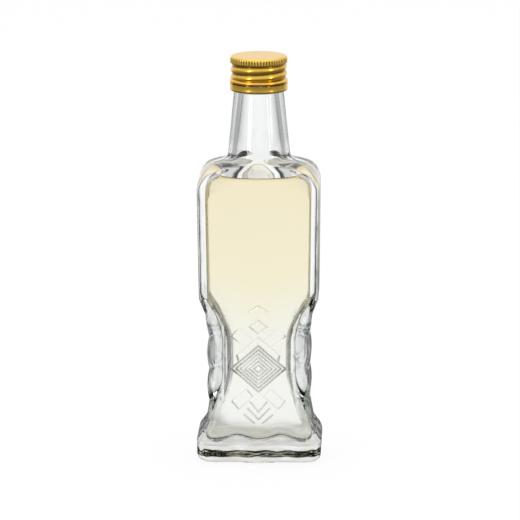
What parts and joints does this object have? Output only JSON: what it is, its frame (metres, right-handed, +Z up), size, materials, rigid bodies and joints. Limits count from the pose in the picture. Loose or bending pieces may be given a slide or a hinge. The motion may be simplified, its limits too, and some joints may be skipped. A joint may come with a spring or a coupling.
{
  "type": "spirits miniature bottle",
  "caption": "Miniature flat glass flask of pale liquid with a waisted, grooved body, a diamond relief panel and a rolled-on aluminium screw cap with a tamper band.",
  "frame": {"origin": "middle of the base, on the plane the bottle stands on", "axes": "+Z up along the neck, +X to the bottle's right seen from the front, -Y out of the front with the diamond relief"},
  "size_m": [0.04, 0.0236, 0.1309],
  "materials": {
    "glass": "clear, polished, moulded relief",
    "liquid": "clear pale yellow liquid",
    "gold_cap": "gold anodised, satin",
    "liner": "soft foam sheet",
    "gold_band": "gold anodised, satin"
  },
  "bodies": {
    "bottle": {"glass_bottle": "glass", "liquid": "liquid"},
    "liner": {"cap_liner": "liner"},
    "cap": {"cap_shell": "gold_cap"},
    "band": {"tamper_band": "gold_band"}
  },
  "joints": [
    {"name": "cap_lift", "type": "slide", "parent": "bottle", "child": "liner", "axis": [0, 0, 1], "range_m": [0, 0.0084]},
    {"name": "cap_turn", "type": "hinge", "parent": "liner", "child": "cap", "pos_m": [0, 0, 0.125], "axis": [0, 0, 1], "range_deg": [0, 1261]},
    {"name": "band_spin", "type": "hinge", "parent": "bottle", "child": "band", "pos_m": [0, 0, 0.121], "axis": [0, 0, 1], "continuous": true}
  ],
  "couplings": [
    {"joint": "cap_turn", "follows": "cap_lift", "rad_per_m": 2618}
  ]
}
